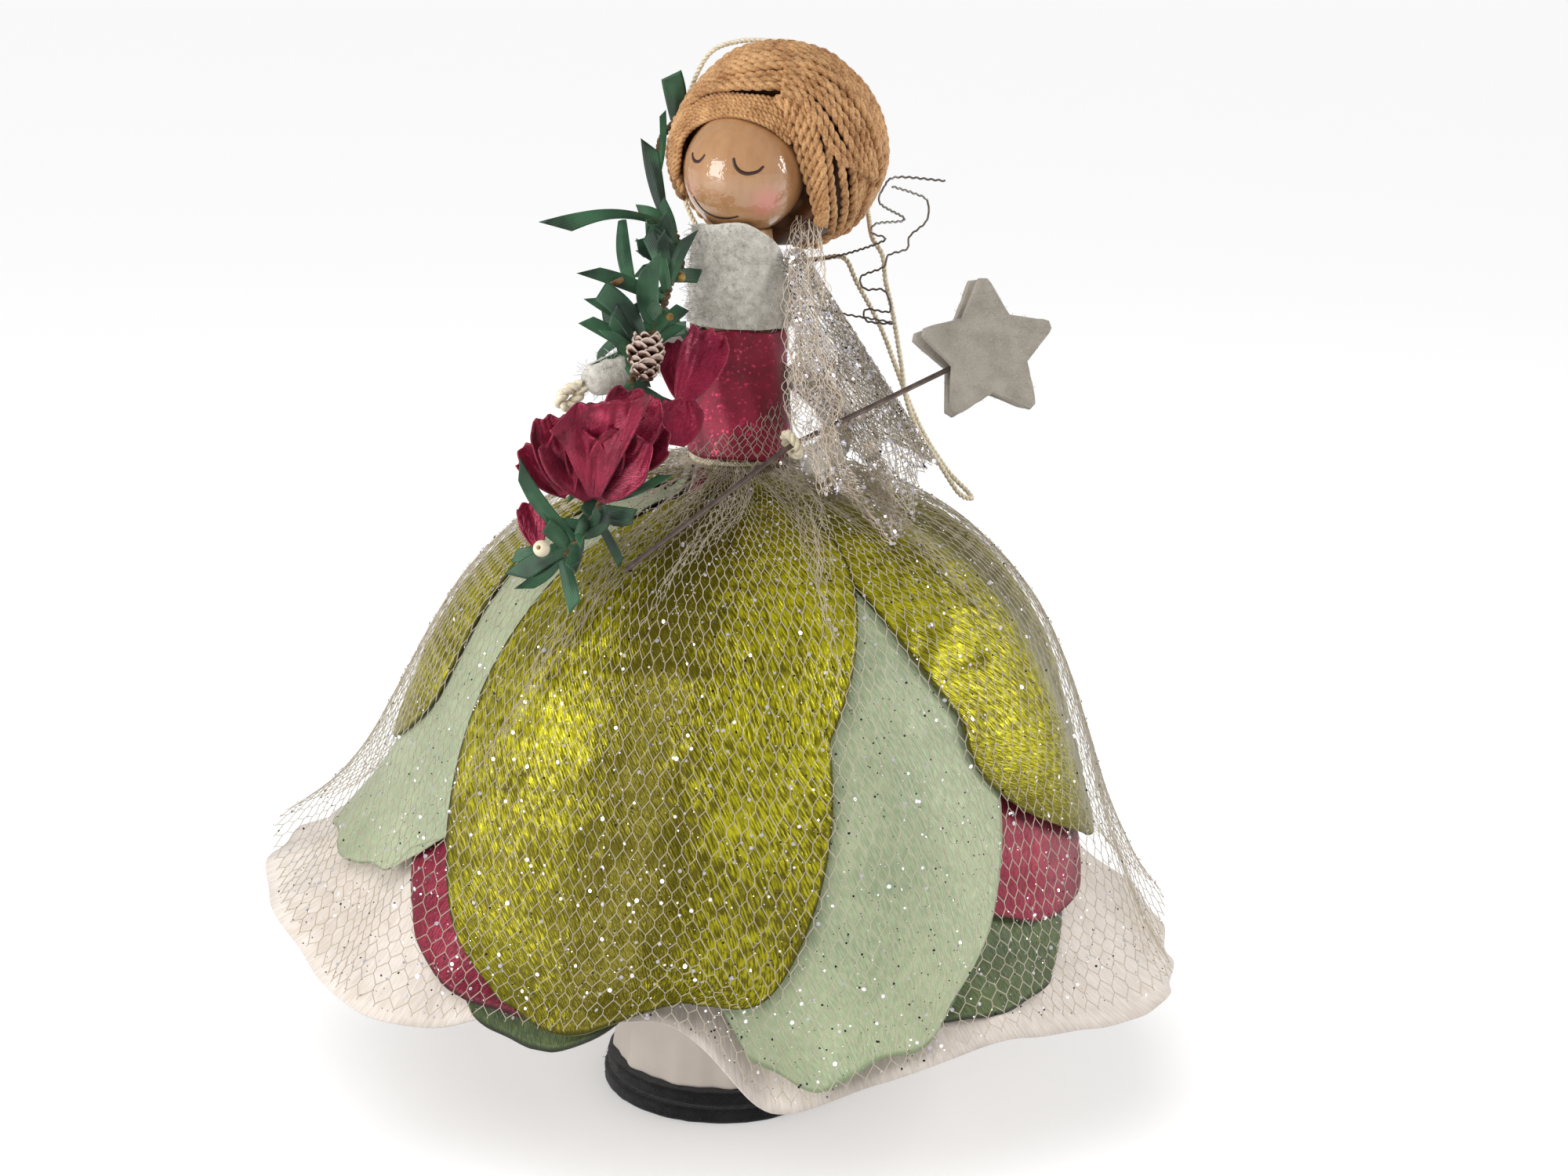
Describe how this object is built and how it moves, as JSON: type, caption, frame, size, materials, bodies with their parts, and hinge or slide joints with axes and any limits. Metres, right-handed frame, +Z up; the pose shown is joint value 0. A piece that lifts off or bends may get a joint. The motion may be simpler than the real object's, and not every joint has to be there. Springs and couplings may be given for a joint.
{
  "type": "fairy ornament",
  "caption": "Wooden-bead fairy doll in a petal and glitter-net skirt, with floss hair, a felt collar, a leaf spray, a star wand and a hanging cord.",
  "frame": {"origin": "middle of the base's underside", "axes": "+Z up, -Y towards the doll's front, +X towards the doll's left"},
  "size_m": [0.1405, 0.1268, 0.1636],
  "materials": {
    "black_felt": "black felt",
    "cream_card": "cream card",
    "pale_wood": "bare turned wood",
    "varnished_wood": "varnished wood with a painted face",
    "floss": "twisted cotton floss",
    "grey_felt": "light grey felt",
    "star_felt": "pressed grey felt",
    "red_satin": "crimson shimmer fabric",
    "lime_satin": "chartreuse satin",
    "mint_satin": "pale mint satin",
    "olive_satin": "dark olive satin",
    "cream_voile": "cream voile",
    "tulle": "cream net with glitter",
    "leaf_paper": "dark green paper leaf",
    "cream_cord": "cream cotton cord",
    "dark_wire": "dark painted wire",
    "silver_wire": "crimped steel wire",
    "brown_cone": "small brown cone"
  },
  "bodies": {
    "doll": {"base_sole": "black_felt", "base_disc": "black_felt", "skirt_core": "cream_card", "torso_peg": "pale_wood", "neck_peg": "pale_wood", "petticoat": "cream_voile", "tulle_overskirt": "tulle", "waist_tie": "cream_cord", "bodice": "red_satin", "collar": "grey_felt", "arm_right": "grey_felt", "arm_left": "grey_felt", "hand_left": "cream_cord", "hand_right": "cream_cord", "sprig_upper": "leaf_paper", "sprig_middle": "leaf_paper", "sprig_lower": "leaf_paper", "mini_cone": "brown_cone", "bloom_petal_front": "red_satin", "bloom_petal_left": "red_satin", "bloom_petal_back": "red_satin", "bloom_petal_upper": "red_satin", "bloom_bud": "red_satin", "bloom_petal_low": "red_satin", "berry_bead": "cream_cord", "tulle_sleeve": "tulle", "nape_knot": "cream_cord", "wing_wire_upper": "silver_wire", "wing_wire_lower": "silver_wire", "hanging_cord": "cream_cord", "olive_petal_1": "olive_satin", "olive_petal_2": "olive_satin", "olive_petal_3": "olive_satin", "olive_petal_4": "olive_satin", "red_petal_1": "red_satin", "red_petal_2": "red_satin", "red_petal_3": "red_satin", "red_petal_4": "red_satin", "mint_petal_1": "mint_satin", "mint_petal_2": "mint_satin", "mint_petal_3": "mint_satin", "mint_petal_4": "mint_satin", "lime_petal_1": "lime_satin", "lime_petal_2": "lime_satin", "lime_petal_3": "lime_satin", "lime_petal_4": "lime_satin"},
    "head": {"head_bead": "varnished_wood", "hair_fringe": "floss", "hair_lock_left": "floss", "hair_lock_right": "floss", "hair_back": "floss"},
    "wand": {"wand_wire": "dark_wire", "star_front": "star_felt", "star_back": "star_felt"}
  },
  "joints": [
    {"name": "head_turn", "type": "hinge", "parent": "doll", "child": "head", "pos_m": [0, 0, 0.1363], "axis": [0, 0, 1], "range_deg": [-10, 10]},
    {"name": "wand_turn", "type": "hinge", "parent": "doll", "child": "wand", "pos_m": [0.01473, -0.0158, 0.1087], "axis": [0.4667, 0.7551, 0.4605], "range_deg": [-20, 20]}
  ]
}
